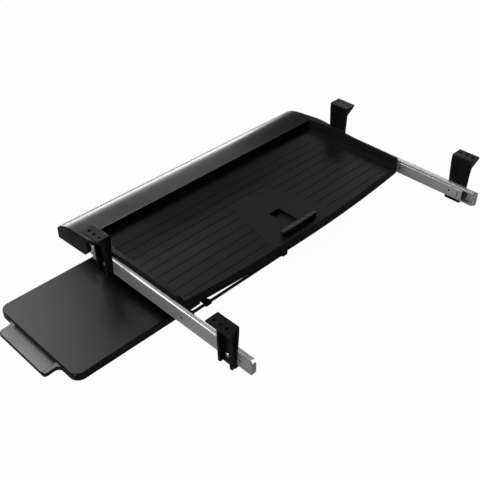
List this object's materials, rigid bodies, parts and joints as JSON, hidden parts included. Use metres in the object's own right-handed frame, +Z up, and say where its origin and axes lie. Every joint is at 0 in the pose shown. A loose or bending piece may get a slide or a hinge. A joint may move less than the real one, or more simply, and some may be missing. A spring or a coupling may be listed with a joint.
{
  "type": "keyboard tray under desk",
  "caption": "Under-desk keyboard tray on ball slides and four drop brackets, with a palm rest, a keyboard stop and a mouse platform that slides out to the right.",
  "frame": {"origin": "middle of the rectangle of the four brackets' middle screw holes, on the plates' top faces, at the desk's underside", "axes": "+X to the user's right, +Y away from the user, towards the rear of the desk, +Z up into the desk"},
  "size_m": [0.7655, 0.4476, 0.1067],
  "materials": {
    "bracket_plastic": "fine-grained, matt black",
    "tray_plastic": "fine-grained, satin black",
    "platform_plastic": "satin black",
    "glide_plastic": "smooth, self-lubricating, black",
    "black_rubber": "matt black rubber",
    "zinc_steel": "bright zinc plate, rolled along its length",
    "cage_steel": "pressed, lightly oiled",
    "ball_steel": "polished",
    "screw_steel": "zinc plate",
    "black_rod": "black oxide"
  },
  "bodies": {
    "base": {"bracket_front_right": "bracket_plastic", "bracket_front_left": "bracket_plastic", "bracket_rear_right": "bracket_plastic", "bracket_rear_left": "bracket_plastic", "outer_rail_right": "zinc_steel", "outer_rail_left": "zinc_steel", "bracket_screws": "screw_steel", "closing_buffers": "black_rubber"},
    "right_cage": {"ball_cage_right": "cage_steel", "balls_right": "ball_steel"},
    "left_cage": {"ball_cage_left": "cage_steel", "balls_left": "ball_steel"},
    "drawer": {"tray": "tray_plastic", "inner_rail_right": "zinc_steel", "inner_rail_left": "zinc_steel", "rail_screws": "screw_steel", "guide_rod_front": "black_rod", "guide_rod_rear": "black_rod", "rod_hanger_front_left": "bracket_plastic", "rod_hanger_front_right": "bracket_plastic", "rod_hanger_rear_left": "bracket_plastic", "rod_hanger_rear_right": "bracket_plastic", "hanger_screws": "screw_steel", "track_cover": "tray_plastic", "track_screws": "screw_steel"},
    "mouse_platform": {"platform": "platform_plastic", "glide_front_left": "glide_plastic", "glide_front_right": "glide_plastic", "glide_rear_left": "glide_plastic", "glide_rear_right": "glide_plastic", "glide_screws": "screw_steel"},
    "keyboard_stop": {"stop_bar": "black_rubber", "stop_slider": "tray_plastic", "stop_screws": "screw_steel"}
  },
  "joints": [
    {"name": "tray_slide", "type": "slide", "parent": "base", "child": "drawer", "axis": [0, -1, 0], "range_m": [0, 0.23]},
    {"name": "right_cage_roll", "type": "slide", "parent": "base", "child": "right_cage", "axis": [0, -1, 0], "range_m": [0, 0.115]},
    {"name": "left_cage_roll", "type": "slide", "parent": "base", "child": "left_cage", "axis": [0, -1, 0], "range_m": [0, 0.115]},
    {"name": "platform_slide", "type": "slide", "parent": "drawer", "child": "mouse_platform", "axis": [1, 0, 0], "range_m": [-0.155, 0]},
    {"name": "stop_slide", "type": "slide", "parent": "drawer", "child": "keyboard_stop", "axis": [0, -1, 0], "range_m": [0, 0.045]}
  ],
  "couplings": [
    {"joint": "right_cage_roll", "follows": "tray_slide", "ratio": 0.5},
    {"joint": "left_cage_roll", "follows": "tray_slide", "ratio": 0.5}
  ]
}
